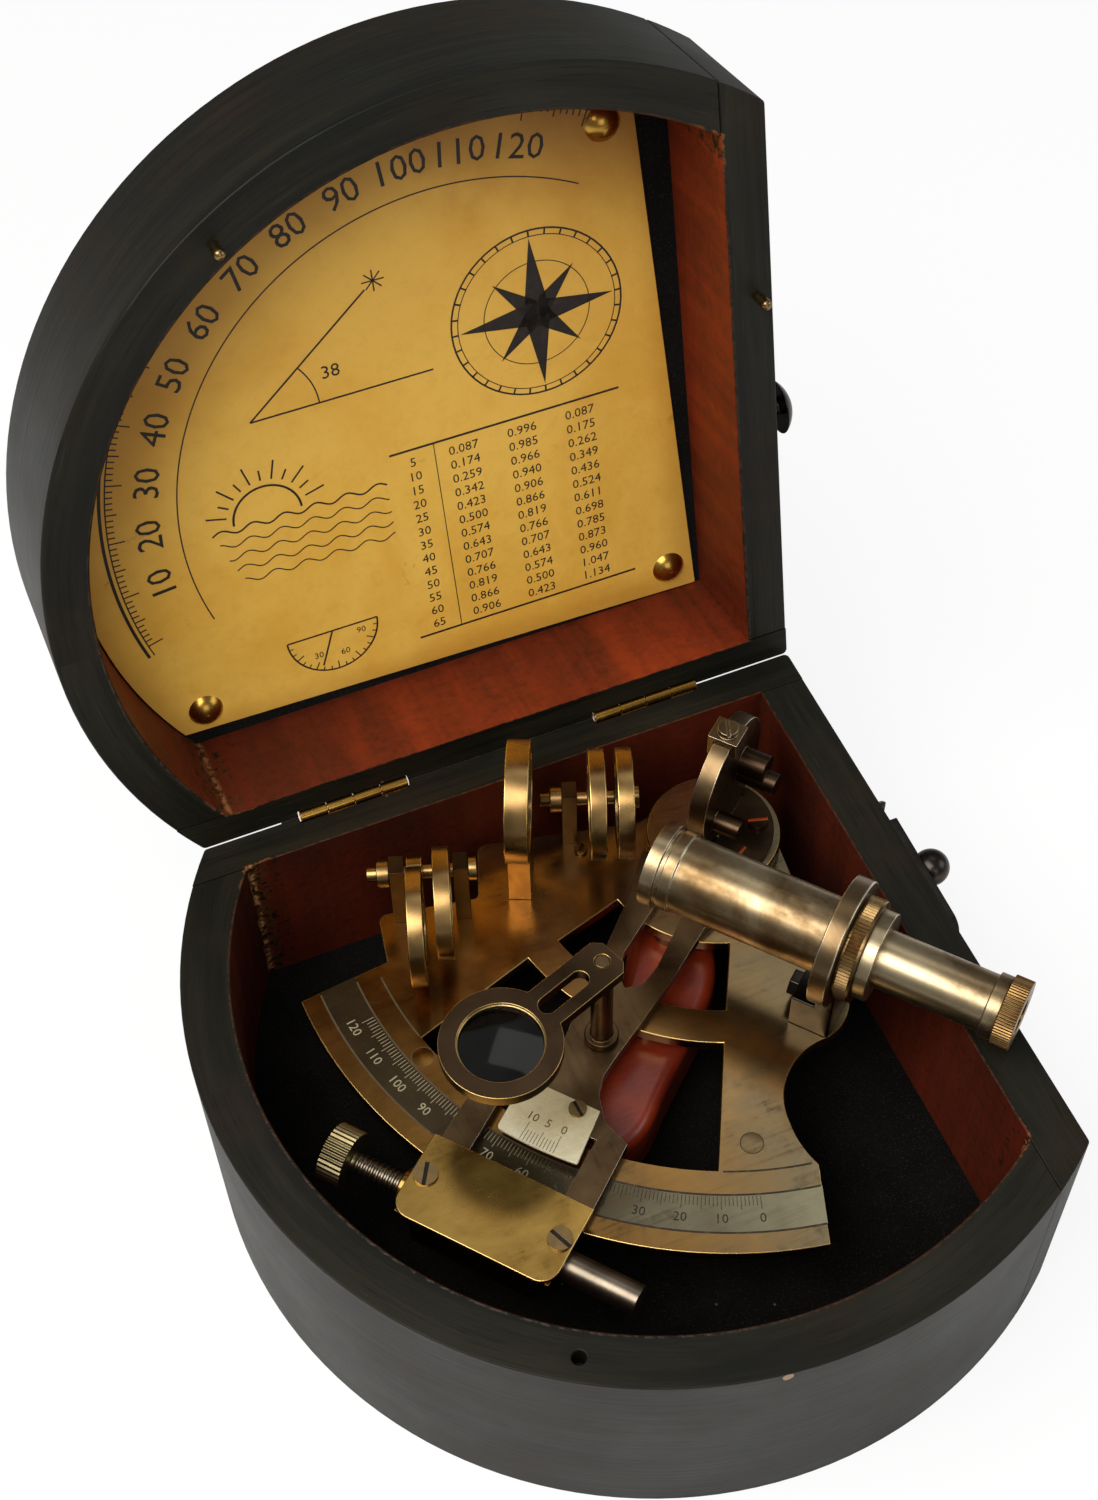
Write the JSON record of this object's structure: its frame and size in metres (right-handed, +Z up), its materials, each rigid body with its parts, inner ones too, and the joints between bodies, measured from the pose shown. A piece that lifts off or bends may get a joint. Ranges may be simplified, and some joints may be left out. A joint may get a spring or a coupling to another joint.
{
  "type": "sextant case",
  "caption": "D-shaped wooden case with hinged lid and swing hook, holding a small brass sextant that lifts out, with index arm, mirrors, shades and telescope.",
  "frame": {"origin": "centre of the curved wall's circle, on the flat underside that the case stands on", "axes": "+Z up, +X to the right along the hinge edge, +Y towards the hinge edge at the back"},
  "size_m": [0.168, 0.2244, 0.2122],
  "materials": {
    "dark_wood": "very dark stained, worn satin",
    "black_velvet": "matte pile",
    "parchment": "aged matte",
    "bright_brass": "polished",
    "dark_latch": "blackened",
    "aged_brass": "antiqued satin",
    "silvered_scale": "silvered satin",
    "silver_plate": "silvered polished",
    "dark_steel": "dark",
    "red_wood": "painted gloss",
    "mirror": "polished",
    "clear_glass": "polished",
    "green_glass": "polished",
    "smoked_glass": "polished"
  },
  "bodies": {
    "case": {"base_back_wall": "dark_wood", "base_right_wall": "dark_wood", "base_curved_wall": "dark_wood", "base_bottom_panel": "dark_wood", "base_velvet_floor": "black_velvet", "hinge_base_leaves": "bright_brass", "hinge_pins": "bright_brass", "base_hinge_screws": "bright_brass", "latch_pivot": "dark_latch"},
    "lid": {"lid_back_wall": "dark_wood", "lid_right_wall": "dark_wood", "lid_curved_wall": "dark_wood", "lid_top_panel": "dark_wood", "lid_velvet_lining": "black_velvet", "label_card": "parchment", "label_nails": "bright_brass", "rim_pins": "bright_brass", "hinge_lid_leaves": "bright_brass", "lid_hinge_screws": "bright_brass", "latch_stud": "dark_latch"},
    "latch": {"latch_hook": "dark_latch"},
    "sextant": {"sextant_frame": "aged_brass", "limb_scale": "silvered_scale", "frame_legs": "aged_brass", "handle_grip": "red_wood", "handle_posts": "aged_brass", "horizon_mirror_frame": "aged_brass", "horizon_mirror_glass": "mirror", "index_shade_bracket": "aged_brass", "horizon_shade_brackets": "aged_brass", "shade_bolts": "aged_brass", "telescope_bracket": "aged_brass", "bracket_nut": "dark_steel", "telescope_tube": "aged_brass", "telescope_collar": "aged_brass", "objective_lens": "clear_glass"},
    "arm": {"index_arm": "aged_brass", "pivot_disc": "aged_brass", "index_mirror_frame": "aged_brass", "index_mirror_glass": "mirror", "index_mirror_clip": "aged_brass", "vernier_plate": "silver_plate", "clamp_plate": "aged_brass", "clamp_block": "aged_brass", "arm_screws": "aged_brass", "magnifier_post": "aged_brass"},
    "tangent_screw": {"tangent_screw": "dark_steel"},
    "magnifier": {"magnifier_arm": "aged_brass", "magnifier_lens": "clear_glass"},
    "draw": {"draw_tube": "aged_brass", "eyepiece_cap": "aged_brass", "eyepiece_lens": "clear_glass"},
    "index_shade_1": {"index_shade_1_ring": "aged_brass", "index_shade_1_glass": "green_glass"},
    "index_shade_2": {"index_shade_2_ring": "aged_brass", "index_shade_2_glass": "green_glass"},
    "horizon_shade_1": {"horizon_shade_1_ring": "aged_brass", "horizon_shade_1_glass": "smoked_glass"},
    "horizon_shade_2": {"horizon_shade_2_ring": "aged_brass", "horizon_shade_2_glass": "smoked_glass"}
  },
  "joints": [
    {"name": "lid_hinge", "type": "hinge", "parent": "case", "child": "lid", "pos_m": [0, 0.05777, 0.06015], "axis": [1, 0, 0], "range_deg": [0, 102.9]},
    {"name": "latch_turn", "type": "hinge", "parent": "case", "child": "latch", "pos_m": [0.06223, -0.00383, 0.053], "axis": [1, 0, 0], "range_deg": [0, 90]},
    {"name": "sextant_lift", "type": "slide", "parent": "case", "child": "sextant", "axis": [0, 0, 1], "range_m": [0, 0.12]},
    {"name": "arm_swing", "type": "hinge", "parent": "sextant", "child": "arm", "pos_m": [0.02803, 0.02667, 0.0436], "axis": [0, 0, 1], "range_deg": [-9, 25]},
    {"name": "tangent_turn", "type": "hinge", "parent": "arm", "child": "tangent_screw", "pos_m": [-0.05276, -0.0404, 0.0424], "axis": [0.6388, -0.7694, 0], "continuous": true},
    {"name": "magnifier_swing", "type": "hinge", "parent": "arm", "child": "magnifier", "pos_m": [-0.01519, -0.01051, 0.0739], "axis": [0, 0, 1], "range_deg": [-20, 25]},
    {"name": "telescope_draw", "type": "slide", "parent": "sextant", "child": "draw", "axis": [-0.6374, 0.7705, 0], "range_m": [0, 0.0229]},
    {"name": "index_shade_1_swing", "type": "hinge", "parent": "sextant", "child": "index_shade_1", "pos_m": [0.0048, 0.03985, 0.0563], "axis": [-0.9367, 0.3502, 0], "range_deg": [-40, 30]},
    {"name": "index_shade_2_swing", "type": "hinge", "parent": "sextant", "child": "index_shade_2", "pos_m": [0.01032, 0.03779, 0.0563], "axis": [-0.9367, 0.3502, 0], "range_deg": [-40, 30]},
    {"name": "horizon_shade_1_swing", "type": "hinge", "parent": "sextant", "child": "horizon_shade_1", "pos_m": [-0.03928, 0.03564, 0.0582], "axis": [-0.9483, 0.3173, 0], "range_deg": [0, 80]},
    {"name": "horizon_shade_2_swing", "type": "hinge", "parent": "sextant", "child": "horizon_shade_2", "pos_m": [-0.03359, 0.03373, 0.0582], "axis": [-0.9483, 0.3173, 0], "range_deg": [-26, 54]}
  ],
  "couplings": [
    {"joint": "telescope_draw", "follows": "lid_hinge", "m_per_rad": 0.01275}
  ]
}
